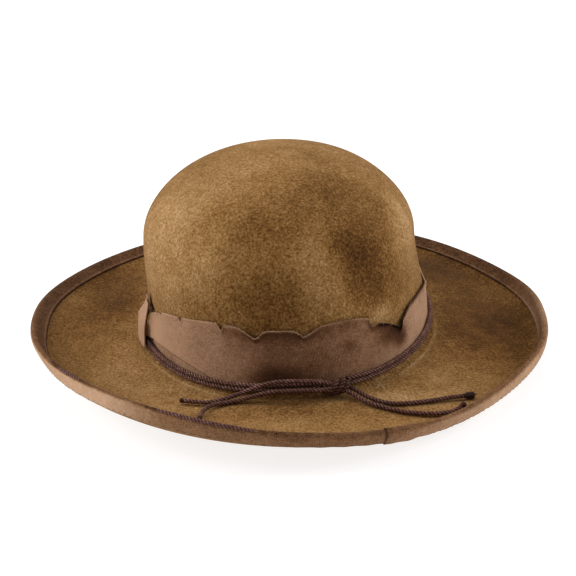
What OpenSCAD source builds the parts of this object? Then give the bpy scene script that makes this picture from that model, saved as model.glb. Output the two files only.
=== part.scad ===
// Wide-brimmed felt hat: blocked felt body, bound and wired rim, ribbon hatband, tied double cord.
// Millimetres. Origin: centre of the head opening, in the plane of the bend between crown and brim.
// +Z is up the crown, -Y is the front of the hat, +X is the wearer's left.

/* [Crown] */
// Half width of the crown at its foot, outside
crown_half_width = 84; // [76:1:92]
// Half length of the crown at its foot, outside
crown_half_length = 105; // [97:1:113]
// Height of the crown's top
crown_height = 112; // [100:1:130]
// Height at which the tapered wall starts to round over
wall_height = 64; // [54:1:72]
// Length over which the shoulder keeps the wall's direction
shoulder = 20; // [12:1:26]
// Size of the flat of the top against the wall's top
top_spread = 0.6; // [0.4:0.05:0.7]
// Width of the wall's top against its foot
side_taper = 0.964; // [0.92:0.004:0.98]
// Length of the wall's top against its foot
front_taper = 0.92; // [0.88:0.01:0.98]
// Sideways set of the crown above its foot, towards the wearer's left
crown_lean = -3.5; // [-5:0.5:5]

/* [Felt and brim] */
// Thickness of the felt
felt = 3; // [2.5:0.25:3.5]
// Outside radius of the bend between crown and brim
bend_radius = 6; // [5:0.5:8]
// Mean width of the brim, seen from above
brim_width = 70; // [62:1:78]
// Length over which the rim curls up
curl_length = 18; // [14:1:20]
// Width of the rim binding on each face
binding_width = 7.5; // [6:0.5:10]
// Thickness of the rim binding
binding = 0.6; // [0.5:0.1:0.8]
// Diameter of the wire in the rim
wire_d = 1; // [0.8:0.1:1.2]

/* [Bands and cord] */
// Height of the sweatband
sweatband_height = 32; // [25:1:38]
// Thickness of the sweatband
leather = 1.2; // [0.8:0.1:1.6]
// Thickness of the hatband ribbon
ribbon = 0.8; // [0.6:0.1:1]
// Diameter of the hatband cord
cord_d = 2.8; // [2.4:0.1:3]

/* [Hidden] */

// Free shape of the brim, one value for every 30 degrees, anticlockwise from +X
rim_reach = [0, 3.5, 0.5, -2, 0.5, -0.5, -2.5, 1.5, 1.5, 0, -0.5, 3.5];
rim_height = [4, -4.5, -2.5, -0.5, -0.5, 3.5, 12.5, 18, 19, 11, 3, 8];
rim_slope = [80, 44, 34, 24, 32, 34, 40, 75, 88, 66, 66, 82];
brim_dip = -2;
// Height of the cord's middle on the crown, same angles
cord_height = [9.5, 9, 8, 8, 8, 7.5, 6.5, 5.5, 6, 8.5, 7.5, 8.5];

// Torn upper edge of the ribbon: [angle, height]
ribbon_edge = [[198, 12], [200, 18], [204, 27], [213, 32], [218, 35], [228, 36], [236, 40], [246, 41],
               [249, 39], [252, 42], [257, 41], [260, 36], [263, 41], [272, 41], [275, 37], [280, 40],
               [283, 42], [298, 41], [300, 35], [306, 34], [312, 29], [317, 25], [321, 31], [327, 34],
               [337, 36], [348, 39], [360, 41], [500, 41], [520, 38], [535, 30], [545, 23],
               [550, 20], [554, 24], [557, 30]];
ribbon_foot = 5.5;

// Routes of the four free cord ends over the brim
route_left_upper = [[18.5, -108.5, 11.6], [12, -109.8, 12.9], [5, -110.3, 13.5], [-6, -110.2, 13.5],
                    [-15, -109.4, 11.6], [-24, -107.8, 7.6], [-31, -108, 5.2], [-38, -109.2, 3.6],
                    [-46, -111, 2.9], [-54, -109.5, 2.9], [-61, -107.5, 2.9]];
route_left_lower = [[18.5, -111.2, 8], [12, -112.6, 8.7], [5, -113.2, 9], [-6, -113.2, 9],
                    [-15, -112, 7.4], [-24, -111, 4.6], [-31, -111.8, 3], [-38, -113.8, 2.7],
                    [-44, -118, 2.7], [-47.5, -125, 3], [-50, -134, 3.8]];
route_right_upper = [[35, -105.4, 6.2], [40, -108.5, 4], [44.5, -111.5, 2.6], [49, -113.8, 1.6],
                     [56, -115.6, 0.6], [63, -115.2, -0.1], [76, -111.8, -0.9], [91, -107, -1.2],
                     [99, -106, -1]];
route_right_lower = [[34, -109, 4.8], [39, -112.8, 2.8], [43.5, -116, 1.6], [49, -118.6, 0.8],
                     [59, -122.4, -0.7], [71, -124.8, -1.7], [83, -125.2, -2.1], [91, -124, -1.5],
                     [96.5, -120.5, 0.3]];
whipping_place = [104, -106, -0.6];

knot_angle = 284;
knot_wraps = 4;
knot_pitch = 3.6;
knot_place = [26.4, -105.9, 7.6];

columns = 60;
step = 360 / columns;
dome_rows = 11;
wall_rows = 8;
bend_rows = 3;
brim_rows = 8;
rim_rows = 4;
lean_start = 15;
lean_length = 45;
gap = 0.1;
band_gap = 0.3;
thread_gap = 0.3;
strand_gap = 2;
strand_rise = 1.45;
sample = 0.01;
half_felt = felt / 2;
bend_mid = bend_radius + half_felt;

felt_colour = [0.45, 0.31, 0.15];
ribbon_colour = [0.48, 0.36, 0.28];
binding_colour = [0.42, 0.30, 0.22];
cord_colour = [0.20, 0.12, 0.12];
thread_colour = [0.25, 0.17, 0.13];
leather_colour = [0.36, 0.22, 0.12];
steel_colour = [0.55, 0.56, 0.58];

// Smooth closed curve through equally spaced values
function around(list, a) =
    let (n = len(list), u = ((a % 360 + 360) % 360) * n / 360, i = floor(u), t = u - i,
         p = [for (k = [-1:2]) list[(i + k + n) % n]])
    0.5 * (2 * p[1] + (p[2] - p[0]) * t + (2 * p[0] - 5 * p[1] + 4 * p[2] - p[3]) * t * t
           + (3 * p[1] - p[0] - 3 * p[2] + p[3]) * t * t * t);

// Radius of an oval at an angle, by its half width and half length; the crown's foot if none are given
function oval(a, x = crown_half_width, y = crown_half_length) = x * y / norm([y * cos(a), x * sin(a)]);

function bezier(p, s) =
    pow(1 - s, 3) * p[0] + 3 * s * pow(1 - s, 2) * p[1] + 3 * s * s * (1 - s) * p[2] + pow(s, 3) * p[3];

// Middle surface of the brim at an angle: [radius, height] for s from 0 at the bend to 1 at the rim
function brim_mid(a, s) =
    let (w = brim_width + around(rim_reach, a), h = around(rim_height, a), e = around(rim_slope, a))
    [oval(a), 0] + bezier([[bend_radius, 0], [w / 2, brim_dip],
                           [w - curl_length * cos(e), h - curl_length * sin(e)], [w, h]], s);

// Middle surface of the crown's wall, and of its dome for s from 0 at the wall to 1 at the top
function wall_reach(a, z) =
    let (up = z / wall_height)
    oval(a, crown_half_width * (1 - (1 - side_taper) * up), crown_half_length * (1 - (1 - front_taper) * up))
    - half_felt;
function dome_mid(a, s) =
    let (turn = wall_height + shoulder, top = crown_height - half_felt)
    bezier([[wall_reach(a, wall_height), wall_height], [wall_reach(a, turn), turn],
            [wall_reach(a, wall_height) * top_spread, top], [0, top]], s);

// Part of the brim's curve that the binding covers
rim_start = 1 - binding_width / (3 * curl_length);

// Whole section of the felt at an angle, from just off the crown's top out to the rim
function section_mid(a) = concat(
    [for (i = [1:dome_rows]) dome_mid(a, 1 - i / dome_rows)],
    [for (i = [1:wall_rows])
        let (z = wall_height + (bend_mid - wall_height) * i / wall_rows) [wall_reach(a, z), z]],
    [for (i = [1:bend_rows])
        let (f = 90 * i / (bend_rows + 1), r = wall_reach(a, bend_mid) + bend_mid)
        [r - bend_mid * cos(f), bend_mid * (1 - sin(f))]],
    [for (i = [0:brim_rows - 1]) brim_mid(a, rim_start * i / brim_rows)],
    [for (i = [0:rim_rows]) brim_mid(a, rim_start + (1 - rim_start) * i / rim_rows)]);

function unit(v) = v / norm(v);

// Outward side of a section curve at its point i
function side(p, i) =
    let (n = len(p), d = p[min(i + 1, n - 1)] - p[max(i - 1, 0)])
    unit([-d[1], d[0]]);
function shifted(p, off) = [for (i = [0:len(p) - 1]) p[i] + off * side(p, i)];

function lean(z) =
    let (t = min(1, max(0, (z - lean_start) / lean_length))) crown_lean * t * t * (3 - 2 * t);
function place(a, q) = [q[0] * cos(a) + lean(q[1]), q[0] * sin(a), q[1]];

// Point on the outside of the crown's wall, standing off by a distance
function on_wall(a, z, off) = place(a, [wall_reach(a, z) + half_felt + off, z]);

// Point over the brim at a distance from the rim, measured along the brim
function rim_point(a, back, off) =
    let (s = 1 - back / (3 * curl_length), d = brim_mid(a, s + sample) - brim_mid(a, s - sample))
    brim_mid(a, s) + off * unit([-d[1], d[0]]);
// Direction in which the brim ends
function rim_out(a) = unit(brim_mid(a, 1) - brim_mid(a, 1 - 4 * sample));

// Solid swept through rings of points; closed joins the last ring to the first
module sweep(rings, closed) {
    m = len(rings[0]);
    n = len(rings);
    last = closed ? n - 1 : n - 2;
    walls = [for (i = [0:last]) for (j = [0:m - 1])
        let (a = i * m + j, b = i * m + (j + 1) % m, c = ((i + 1) % n) * m + (j + 1) % m,
             d = ((i + 1) % n) * m + j)
        each [[a, b, c], [a, c, d]]];
    ends = closed ? [] : [[for (j = [m - 1:-1:0]) j], [for (j = [0:m - 1]) (n - 1) * m + j]];
    polyhedron([for (r = rings) for (p = r) p], concat(walls, ends));
}

// Round tube along a list of points
module tube(path, d, sides) {
    n = len(path);
    rings = [for (i = [0:n - 1])
        let (t = unit(path[min(i + 1, n - 1)] - path[max(i - 1, 0)]),
             u = unit(cross(t, [0, 0, 1])), v = cross(u, t))
        [for (k = [0:sides - 1])
            path[i] + d / 2 * (cos(360 * k / sides) * u + sin(360 * k / sides) * v)]];
    sweep(rings, false);
}

// A stitch: a short thread lying along dir at a point
module stitch(p, yaw, length, thread) {
    translate(p) rotate([0, 0, yaw]) cube([length, thread, thread], center = true);
}

module felt_body() {
    tops = [for (i = [0:columns - 1]) shifted(section_mid(i * step), half_felt)];
    unders = [for (i = [0:columns - 1]) shifted(section_mid(i * step), -half_felt)];
    rows = len(tops[0]);
    points = concat(
        [for (j = [0:rows - 1]) for (i = [0:columns - 1]) place(i * step, tops[i][j])],
        [for (j = [rows - 1:-1:0]) for (i = [0:columns - 1]) place(i * step, unders[i][j])],
        [[crown_lean, 0, crown_height], [crown_lean, 0, crown_height - felt]]);
    last = 2 * rows * columns;
    walls = [for (j = [0:2 * rows - 2]) for (i = [0:columns - 1])
        let (k = (i + 1) % columns, a = j * columns + i, b = j * columns + k,
             c = (j + 1) * columns + k, d = (j + 1) * columns + i)
        each [[a, b, c], [a, c, d]]];
    caps = [for (i = [0:columns - 1])
        let (k = (i + 1) % columns)
        each [[last, k, i], [last + 1, last - columns + i, last - columns + k]]];
    color(felt_colour) polyhedron(points, concat(walls, caps));
}

// Folded ribbon round the rim: out along the top face, round the wire and back along the under face
module brim_binding() {
    fold = half_felt + gap;
    nose_out = 0.9;
    nose_turns = [70, 30, -30, -70];
    function face(a, off) =
        let (p = shifted(section_mid(a), off), n = len(p))
        [for (i = [n - 1 - rim_rows:n - 1]) p[i]];
    function nose(a, r) =
        let (o = rim_out(a), n = [-o[1], o[0]])
        [for (f = nose_turns) brim_mid(a, 1) + nose_out * o + r * (sin(f) * n + cos(f) * o)];
    function layer(a, off) =
        let (under = face(a, -off))
        concat(face(a, off), nose(a, off), [for (k = [rim_rows:-1:0]) under[k]]);
    rings = [for (i = [0:columns - 1])
        let (a = i * step, outer = layer(a, fold + binding), inner = layer(a, fold), n = len(inner))
        [for (q = concat(inner, [for (k = [n - 1:-1:0]) outer[k]])) place(a, q)]];
    color(binding_colour) sweep(rings, true);
}

module binding_stitches() {
    count = 120;
    length = 4;
    thread = 0.4;
    inset = 1.2;
    color(thread_colour)
        for (i = [0:count - 1])
            let (a = (i + 0.5) * 360 / count,
                 q = rim_point(a, binding_width - inset, half_felt + gap + binding + thread + thread_gap),
                 p = place(a, q), e = place(a + 1, q) - place(a - 1, q))
                stitch(p, atan2(e[1], e[0]), length, thread);
}

// Rim wire: one turn inside the fold of the binding, its ends meeting at the back
joint_angle = 90;
joint_span = 2.2;
wire_out = 1.05;
function wire_point(a) = place(a, brim_mid(a, 1) + wire_out * rim_out(a));

module brim_wire() {
    open_half = 0.3;
    turns = [for (i = [0:columns]) joint_angle + open_half + (360 - 2 * open_half) * i / columns];
    color(steel_colour) tube([for (a = turns) wire_point(a)], wire_d, 8);
}

module wire_joiner() {
    play = 0.5;
    wall = 0.2;
    bore = wire_d + play;
    outside = bore + 2 * wall;
    over_run = 1.1;
    function path(reach) = [for (k = [-1:1]) wire_point(joint_angle + k * joint_span * reach)];
    color(steel_colour)
        difference() {
            tube(path(1), outside, 12);
            tube(path(over_run), bore, 12);
        }
}

// Inner face of the crown's wall, standing off inwards; heights under the bend stay vertical
function inside_wall(a, z, off) =
    let (zz = max(z, bend_mid)) place(a, [wall_reach(a, zz) - half_felt - off, z]);

module sweatband() {
    low = 1;
    levels = [low, low + 10, low + 20, low + sweatband_height];
    rings = [for (i = [0:columns - 1])
        let (a = i * step)
        concat([for (z = levels) inside_wall(a, z, band_gap)],
               [for (k = [3:-1:0]) inside_wall(a, levels[k], band_gap + leather)])];
    color(leather_colour) sweep(rings, true);
}

module sweatband_reed() {
    reed_d = 1.6;
    reed_z = -0.5;
    path = [for (i = [0:columns - 1]) inside_wall(i * step, reed_z, reed_d / 2)];
    rings = [for (i = [0:columns - 1])
        let (a = i * step)
        [for (k = [0:7])
            path[i] + reed_d / 2 * [cos(45 * k) * cos(a), cos(45 * k) * sin(a), sin(45 * k)]]];
    color(thread_colour) sweep(rings, true);
}

module sweatband_stitches() {
    count = 90;
    length = 3.5;
    thread = 0.5;
    stitch_z = 4;
    color(thread_colour)
        for (i = [0:count - 1])
            let (a = (i + 0.5) * 360 / count,
                 p = inside_wall(a, stitch_z, band_gap + leather + thread_gap + thread),
                 q = inside_wall(a + 1, stitch_z, 0) - inside_wall(a - 1, stitch_z, 0))
                stitch(p, atan2(q[1], q[0]), length, thread);
}

// Flat bow over the sweatband's seam, at the back
module sweatband_bow() {
    loop = 11;
    bow_width = 7;
    bow_thick = 1.2;
    bow_z = 9;
    bow_clear = 1.6;
    bow_y = inside_wall(90, bow_z, band_gap + leather)[1] - bow_thick / 2 - bow_clear;
    waist = [2, 1.5];
    knot_size = [4.4, 5];
    color(binding_colour)
        translate([0, bow_y, bow_z]) rotate([90, 0, 0])
            linear_extrude(bow_thick, center = true)
                union() {
                    polygon([[-loop, -bow_width / 2], -waist, [waist[0], -waist[1]],
                             [loop, -bow_width / 2], [loop, bow_width / 2], waist,
                             [-waist[0], waist[1]], [-loop, bow_width / 2]]);
                    square(knot_size, center = true);
                }
}

function edge_at(a) = lookup(a, ribbon_edge);

// One strip from its torn point at the wearer's right, round the front, left and back;
// its last end bulges off the crown and comes back to it beside that point
module hatband_ribbon() {
    first = 198;
    end = 557;
    parts = 90;
    lift_from = 538;
    lift_over = 34;
    lift = 3.5;
    rows = 5;
    flat_rows = 1;
    foot_flare = 0.4;
    function lifted(a) = lift * sin(180 * max(0, a - lift_from) / lift_over);
    function bulge(k) = sin(180 * max(0, k - flat_rows) / (rows - flat_rows));
    function stand_off(a, k) = band_gap + (k == 0 ? foot_flare : 0) + lifted(a) * bulge(k);
    function height(a, k) = ribbon_foot + (edge_at(a) - ribbon_foot) * k / rows;
    rings = [for (i = [0:parts])
        let (a = first + (end - first) * i / parts)
        concat([for (k = [rows:-1:0]) on_wall(a, height(a, k), stand_off(a, k))],
               [for (k = [0:rows]) on_wall(a, height(a, k), stand_off(a, k) + ribbon)])];
    color(ribbon_colour) sweep(rings, false);
}

module hatband_tacks() {
    thread = 0.5;
    length = 3;
    below_edge = 3;
    color(thread_colour)
        for (a = [345:29:519])
            let (p = on_wall(a, edge_at(a) - below_edge, band_gap + ribbon + thread_gap + thread / 2))
                stitch(p, a + 90, length, thread);
}

// One strand round the crown, over the ribbon's foot, from the knot and back to it
module cord_strand(rise) {
    turns = 44;
    clear = 4.6;
    off = cord_d / 2 + strand_gap;
    path = [for (i = [0:turns])
        let (a = knot_angle + clear + (360 - 2 * clear) * i / turns)
        on_wall(a, around(cord_height, a) + rise, off)];
    color(cord_colour) tube(path, cord_d, 8);
}
module cord_strand_upper() { cord_strand(strand_rise); }
module cord_strand_lower() { cord_strand(-strand_rise); }

// Wraps of the knot, side by side round a short core
module cord_knot() {
    wrap_r = 2.1;
    color(cord_colour)
        translate(knot_place) rotate([0, 0, knot_angle + 90]) rotate([0, 90, 0])
            union() {
                cylinder(h = knot_pitch * (knot_wraps - 1), r = wrap_r, center = true, $fn = 36);
                for (i = [0:knot_wraps - 1])
                    translate([0, 0, knot_pitch * (i - (knot_wraps - 1) / 2)])
                        rotate_extrude($fn = 36) translate([wrap_r, 0]) circle(d = cord_d, $fn = 24);
            }
}

module tail_left_upper() { color(cord_colour) tube(route_left_upper, cord_d, 8); }
module tail_left_lower() { color(cord_colour) tube(route_left_lower, cord_d, 8); }
module tail_right_upper() { color(cord_colour) tube(route_right_upper, cord_d, 8); }
module tail_right_lower() { color(cord_colour) tube(route_right_lower, cord_d, 8); }

// Whipping that closes the end of the upper left-hand tail
module tail_whipping() {
    whip_length = 5;
    whip_d = 4.2;
    whip_gap = 0.5;
    n = len(route_right_upper);
    dir = whipping_place - route_right_upper[n - 1];
    color(thread_colour)
        translate(route_right_upper[n - 1] + whip_gap * unit(dir))
            rotate([0, acos(dir[2] / norm(dir)), atan2(dir[1], dir[0])])
                cylinder(h = whip_length, d = whip_d, $fn = 40);
}

felt_body();
brim_binding();
binding_stitches();
brim_wire();
wire_joiner();
sweatband();
sweatband_reed();
sweatband_stitches();
sweatband_bow();
hatband_ribbon();
hatband_tacks();
cord_strand_upper();
cord_strand_lower();
cord_knot();
tail_left_upper();
tail_left_lower();
tail_right_upper();
tail_right_lower();
tail_whipping();
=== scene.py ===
"""Looks of a worn felt hat with a torn ribbon and a tied double cord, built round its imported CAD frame.

Shapes are worked out in millimetres in the CAD frame (origin in the head opening, +Z up, -Y the front) and
become metres in mesh_piece(). Angles are in degrees, anticlockwise from +X, so that the front is at 270.
"""

import math

import bpy
import numpy as np
from mathutils import Matrix, Vector


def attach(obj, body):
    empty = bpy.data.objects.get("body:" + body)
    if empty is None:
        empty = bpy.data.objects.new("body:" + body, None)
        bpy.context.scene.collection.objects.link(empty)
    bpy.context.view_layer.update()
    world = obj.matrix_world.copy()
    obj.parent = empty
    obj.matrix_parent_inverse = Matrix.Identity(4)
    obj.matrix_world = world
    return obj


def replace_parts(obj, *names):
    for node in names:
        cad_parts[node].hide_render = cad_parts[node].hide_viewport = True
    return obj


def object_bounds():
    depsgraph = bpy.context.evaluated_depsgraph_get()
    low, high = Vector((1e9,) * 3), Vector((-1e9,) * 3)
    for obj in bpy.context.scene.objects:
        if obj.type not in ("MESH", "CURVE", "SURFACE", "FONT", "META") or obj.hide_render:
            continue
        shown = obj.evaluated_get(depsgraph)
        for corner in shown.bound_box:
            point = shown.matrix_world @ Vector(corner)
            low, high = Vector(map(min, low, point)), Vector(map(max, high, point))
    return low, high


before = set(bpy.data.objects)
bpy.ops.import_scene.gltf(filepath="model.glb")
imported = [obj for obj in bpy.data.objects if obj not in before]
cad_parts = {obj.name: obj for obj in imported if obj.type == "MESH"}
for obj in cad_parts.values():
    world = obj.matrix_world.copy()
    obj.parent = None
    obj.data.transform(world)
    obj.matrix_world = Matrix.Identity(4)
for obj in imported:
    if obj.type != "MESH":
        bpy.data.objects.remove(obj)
cad_low, cad_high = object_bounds()
MM = 0.001
random = np.random.default_rng(11)

# ---------------- driving sizes, as in the CAD
CROWN_X = 84
CROWN_Y = 105
CROWN_TOP = 112
WALL_TOP = 64
SHOULDER = 20
TOP_SPREAD = 0.6
SIDE_TAPER = 0.964
FRONT_TAPER = 0.92
LEAN = -3.5
LEAN_FROM, LEAN_OVER = 15, 45
FELT = 3
HALF = FELT / 2
BEND = 6
BRIM = 70
CURL = 18
DIP = -2
BINDING_WIDTH = 7.5
BINDING = 0.6
CORD = 2.8
# The brim every 30 degrees: its extra width, the rim's height, and its slope there in degrees
RIM_REACH = [0, 3.5, 0.5, -2, 0.5, -0.5, -2.5, 1.5, 1.5, 0, -0.5, 3.5]
RIM_HEIGHT = [4, -4.5, -2.5, -0.5, -0.5, 3.5, 12.5, 18, 19, 11, 3, 8]
RIM_SLOPE = [80, 44, 34, 24, 32, 34, 40, 75, 88, 66, 66, 82]
# Height of the cords every 30 degrees round the crown
CORD_HEIGHT = [9.5, 9, 8, 8, 8, 7.5, 6.5, 5.5, 6, 8.5, 7.5, 8.5]
KNOT_ANGLE = 284
KNOT_PLACE = [26.4, -105.9, 7.6]
WHIPPING_PLACE = [104, -106, -0.6]
FLOOR = cad_low.z / MM


# ---------------- camera and light
def make_camera():
    """Camera at the photograph's angle: 22.4 degrees above the horizon, 1.3 m away, rolled by 2 degrees."""
    elevation, roll, distance = math.radians(22.4), math.radians(-2), 1.3
    target = Vector((0.0009, 0, 0.0249))
    back = Vector((0, -math.cos(elevation), math.sin(elevation)))
    right = Vector((1, 0, 0))
    up = back.cross(right)
    turned_right = right * math.cos(roll) + up * math.sin(roll)
    turned_up = up * math.cos(roll) - right * math.sin(roll)
    data = bpy.data.cameras.new("camera")
    data.lens, data.sensor_width = 134.06, 36
    data.clip_start, data.clip_end = 0.01, 50
    camera = bpy.data.objects.new("camera", data)
    bpy.context.collection.objects.link(camera)
    axes = Matrix((turned_right, turned_up, back)).transposed()
    camera.matrix_world = Matrix.Translation(target + back * distance) @ axes.to_4x4()
    bpy.context.scene.camera = camera


HAT_MIDDLE = Vector((0, 0, 0.04))


def soft_box(name, spot, size, power):
    data = bpy.data.lights.new(name, "AREA")
    data.shape, data.size, data.energy = "SQUARE", size, power
    lamp = bpy.data.objects.new(name, data)
    bpy.context.collection.objects.link(lamp)
    lamp.location = spot
    lamp.rotation_mode = "QUATERNION"
    lamp.rotation_quaternion = (Vector(spot) - HAT_MIDDLE).to_track_quat("Z", "Y")


def make_light():
    bpy.context.scene.view_settings.view_transform = "Standard"
    world = bpy.data.worlds.new("studio")
    world.use_nodes = True
    sky = world.node_tree.nodes["Background"]
    sky.inputs["Color"].default_value = (1, 1, 1, 1)
    sky.inputs["Strength"].default_value = 0.37
    bpy.context.scene.world = world
    soft_box("left", (-1.3, 0.05, 0.75), 0.8, 15)
    soft_box("right", (1.35, 0.0, 0.7), 0.8, 12)
    soft_box("top", (-0.1, 0.45, 1.5), 0.9, 9)


make_camera()


# ---------------- shape of the hat
def catmull(p, q, r, s, t):
    return 0.5 * (2 * q + (r - p) * t + (2 * p - 5 * q + 4 * r - s) * t**2 + (3 * q - p - 3 * r + s) * t**3)


def around(values, a):
    """Smooth closed curve through equally spaced values, at angle a."""
    v = np.asarray(values, float)
    u = (np.asarray(a, float) % 360) * len(v) / 360
    i = np.floor(u).astype(int)
    t = u - i
    return catmull(*(v[(i + k) % len(v)] for k in (-1, 0, 1, 2)), t)


def cosd(a):
    return np.cos(np.radians(a))


def sind(a):
    return np.sin(np.radians(a))


def pair(r, z):
    return np.stack(np.broadcast_arrays(r, z), -1).astype(float)


def smooth(x):
    t = np.clip(x, 0, 1)
    return t * t * (3 - 2 * t)


def oval(a, x=CROWN_X, y=CROWN_Y):
    return x * y / np.hypot(y * cosd(a), x * sind(a))


def bezier(p, s):
    s = np.asarray(s, float)[..., None]
    return (1 - s) ** 3 * p[0] + 3 * s * (1 - s) ** 2 * p[1] + 3 * s * s * (1 - s) * p[2] + s**3 * p[3]


def brim_mid(a, s):
    """Middle of the brim's felt, (radius, height), for s from 0 at the bend to 1 at the rim."""
    w, h, e = BRIM + around(RIM_REACH, a), around(RIM_HEIGHT, a), around(RIM_SLOPE, a)
    inner = pair(w - CURL * cosd(e), h - CURL * sind(e))
    return pair(oval(a), 0) + bezier([pair(BEND + 0 * w, 0), pair(w / 2, DIP), inner, pair(w, h)], s)


def rim_share(reach):
    """Place on the brim's curve, from 0 to 1, of a point about reach millimetres in from the rim."""
    return 1 - reach / (3 * CURL)


def wall_reach(a, z):
    up = z / WALL_TOP
    return oval(a, CROWN_X * (1 - (1 - SIDE_TAPER) * up), CROWN_Y * (1 - (1 - FRONT_TAPER) * up)) - HALF


def dome_mid(a, s):
    turn, top = WALL_TOP + SHOULDER, CROWN_TOP - HALF
    ends = [pair(wall_reach(a, WALL_TOP), WALL_TOP), pair(wall_reach(a, turn), turn)]
    spread = TOP_SPREAD * wall_reach(a, WALL_TOP)
    return bezier([*ends, pair(spread, top), pair(0 * spread, top)], s)


def section_mid(a, dome=50, wall=46, bend=12, brim=60, rim=14):
    """Section of the felt's middle at the angles a (n, 1), from the crown's top to the rim: (n, rows, 2)."""
    low = BEND + HALF
    rim_start = rim_share(BINDING_WIDTH)
    z = np.linspace(WALL_TOP, low, wall + 1)[None, 1:]
    f = np.linspace(0, 90, bend + 2)[None, 1:-1]
    foot = wall_reach(a, low) + low
    return np.concatenate([
        dome_mid(a, np.linspace(1, 0, dome + 1)[None, 1:]),
        pair(wall_reach(a, z), z),
        pair(foot - low * cosd(f), low * (1 - sind(f))),
        brim_mid(a, np.linspace(0, rim_start, brim, endpoint=False)[None, :]),
        brim_mid(a, np.linspace(rim_start, 1, rim)[None, :]),
    ], axis=1)


def sides(p):
    """Outward side of each section curve (n, rows, 2)."""
    d = np.gradient(p, axis=1)
    side = np.stack([-d[..., 1], d[..., 0]], -1)
    return side / np.linalg.norm(side, axis=-1, keepdims=True)


def place(a, q):
    """Points of sections q (..., 2) at the angles a, in millimetres."""
    r, z = q[..., 0], q[..., 1]
    lean = LEAN * smooth((z - LEAN_FROM) / LEAN_OVER)
    return np.stack([r * cosd(a) + lean, r * sind(a), z], -1)


def on_wall(a, z, off):
    return place(a, pair(wall_reach(a, z) + HALF + off, z))


# Soft hollows (-) and swells (+) of the felt: [centre, radius, height]
FELT_SWELLS = [
    ((44, -76, 68), 17, -2.2), ((52, -45, 84), 16, -1.8), ((30, -92, 56), 15, 1.5), ((66, -40, 74), 14, 1.4),
    ((34, -36, 102), 17, -1.6), ((8, -34, 108), 16, 1.2), ((-30, -60, 96), 22, 0.9),
    ((-66, -50, 70), 22, -1.0), ((-10, -96, 62), 22, -1.0), ((-40, 70, 84), 24, -1.5),
    ((34, 76, 76), 22, 1.2), ((-60, 55, 60), 20, 1.3), ((66, 48, 62), 20, -1.4), ((0, 30, 111), 26, -1.6),
    ((-130, -20, 5), 24, 0.9), ((120, 30, -3), 26, -0.8), ((40, 140, -2), 26, 1.0),
    ((-50, 135, -2), 26, -0.8), ((70, -112, -2), 20, 0.6), ((-60, -118, 1), 22, -0.6),
]


def polar(points):
    """Angle in degrees and distance from the middle, seen from above."""
    x, y = points[..., 0], points[..., 1]
    return np.degrees(np.arctan2(y, x)), np.hypot(x, y)


def patches(points, spots, base):
    """base plus the soft spots [centre, radius, depth], at points (..., 3)."""
    total = np.full(points.shape[:-1], float(base))
    for centre, radius, depth in spots:
        total += depth * np.exp(-(((points - centre) / radius) ** 2).sum(-1))
    return total


def felt_swell(points):
    """Height in millimetres by which the felt stands out or in, with none at the crown's foot."""
    a, r = polar(points)
    free = smooth((points[..., 2] - 44) / 12) + smooth((r - oval(a) - 12) / 12)
    return patches(points, FELT_SWELLS, 0) * np.clip(free, 0, 1)


# ---------------- mesh helpers
def grid_faces(n, m, wrap_n=False, wrap_m=False):
    """Quads over n by m points, index i * m + j, closed in either direction."""
    i = np.arange(n if wrap_n else n - 1)[:, None]
    j = np.arange(m if wrap_m else m - 1)[None, :]
    k, c = (i + 1) % n, (j + 1) % m
    quads = np.stack(np.broadcast_arrays(i * m + j, k * m + j, k * m + c, i * m + c), -1)
    return quads.reshape(-1, 4).tolist()


def volume(points, faces):
    quads = [f for f in faces if len(f) == 4]
    tris = np.array([f[:3] for f in faces] + [(f[0], f[2], f[3]) for f in quads])
    a, b, c = (points[tris[:, k]] for k in range(3))
    return float((a * np.cross(b, c)).sum())


def mesh_piece(name, points, faces, material, slot, values=None):
    """A smooth closed mesh from points in millimetres, with its faces outwards, that rides on the hat."""
    points = np.asarray(points, float).reshape(-1, 3)
    if volume(points, faces) < 0:
        faces = [f[::-1] for f in faces]
    mesh = bpy.data.meshes.new(name)
    mesh.from_pydata((points * MM).tolist(), [], faces)
    mesh.shade_smooth()
    for label, value in (values or {}).items():
        layer = mesh.attributes.new(label, "FLOAT", "POINT")
        layer.data.foreach_set("value", np.asarray(value, np.float32).ravel())
    mesh.materials.append(material)
    piece = bpy.data.objects.new(name, mesh)
    bpy.context.collection.objects.link(piece)
    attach(piece, "root")
    return piece


def loft(sections, closed=True):
    """Points and faces of a solid through rings (n, m, 3); an open one gets two end faces."""
    n, m = sections.shape[:2]
    faces = grid_faces(n, m, closed, True)
    if not closed:
        faces += [list(range(m))[::-1], list(range((n - 1) * m, n * m))]
    return sections.reshape(-1, 3), faces


def joined(parts):
    """Several (points, faces) as one."""
    points, faces, base = [], [], 0
    for p, f in parts:
        points.append(p)
        faces += [[i + base for i in face] for face in f]
        base += len(p)
    return np.concatenate(points), faces


def distances(line):
    """How far along a line each of its points is."""
    return np.concatenate([[0], np.cumsum(np.linalg.norm(np.diff(line, axis=0), axis=1))])


def spline(points, step):
    """Smooth line through points, with points about step apart."""
    p = np.asarray(points, float)
    p = np.concatenate([[2 * p[0] - p[1]], p, [2 * p[-1] - p[-2]]])
    line = []
    for i in range(1, len(p) - 2):
        t = np.linspace(0, 1, 24, endpoint=False)[:, None]
        line.append(catmull(*p[i - 1 : i + 3], t))
    line = np.concatenate([*line, p[-2:-1]])
    along = distances(line)
    at = np.linspace(0, along[-1], max(3, round(along[-1] / step)))
    return np.stack([np.interp(at, along, line[:, k]) for k in range(3)], 1)


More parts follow.
